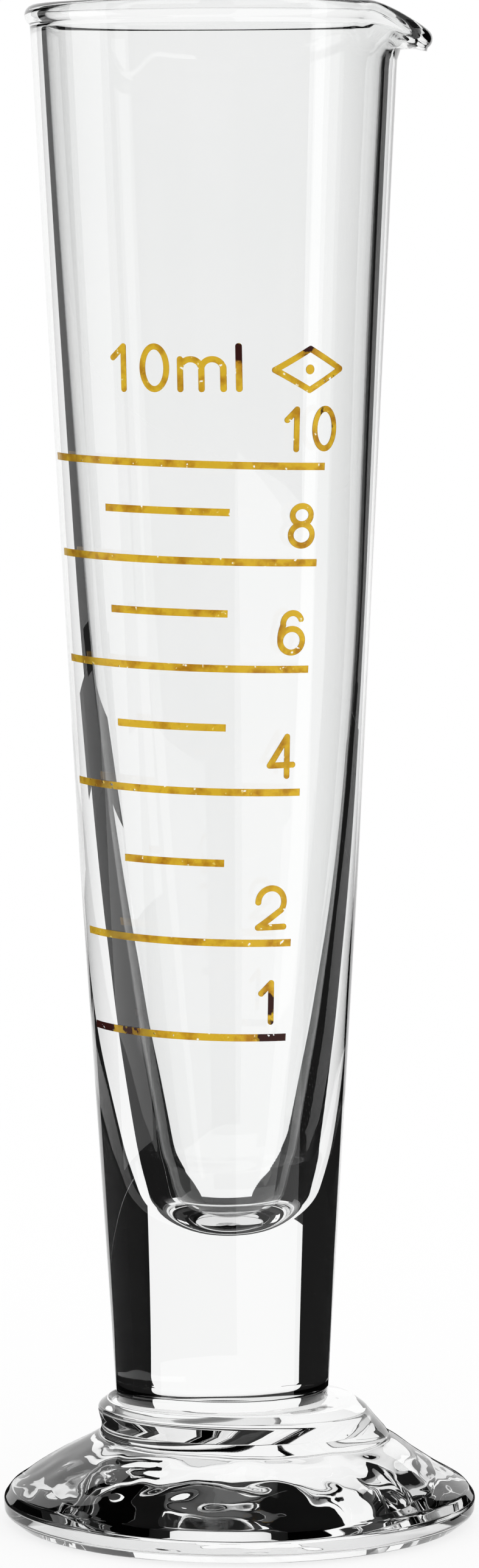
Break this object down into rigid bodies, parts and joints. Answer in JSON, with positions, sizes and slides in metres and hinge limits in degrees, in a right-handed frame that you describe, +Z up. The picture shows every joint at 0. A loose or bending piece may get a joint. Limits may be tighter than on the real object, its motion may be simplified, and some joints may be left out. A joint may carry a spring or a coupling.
{
  "type": "conical glass measure",
  "caption": "Small footed conical glass measuring cup with a solid stem, pouring spout and fired graduation lines.",
  "frame": {"origin": "middle of the foot's underside, on the table", "axes": "+Z up along the measure, +X towards the pouring spout, -Y is the side that the scale faces"},
  "size_m": [0.0342, 0.0342, 0.109],
  "materials": {
    "clear_glass": "fire-polished clear glass",
    "pressed_glass": "pressed clear glass with flow waves",
    "amber_enamel": "translucent fired amber stain"
  },
  "bodies": {
    "root": {"cup": "clear_glass", "foot": "pressed_glass", "line_1_ml": "amber_enamel", "line_2_ml": "amber_enamel", "line_3_ml": "amber_enamel", "line_4_ml": "amber_enamel", "line_5_ml": "amber_enamel", "line_6_ml": "amber_enamel", "line_7_ml": "amber_enamel", "line_8_ml": "amber_enamel", "line_9_ml": "amber_enamel", "line_10_ml": "amber_enamel", "numeral_1": "amber_enamel", "numeral_2": "amber_enamel", "numeral_4": "amber_enamel", "numeral_6": "amber_enamel", "numeral_8": "amber_enamel", "numeral_10": "amber_enamel", "capacity_label": "amber_enamel", "plain_sign": "amber_enamel"}
  },
  "joints": []
}
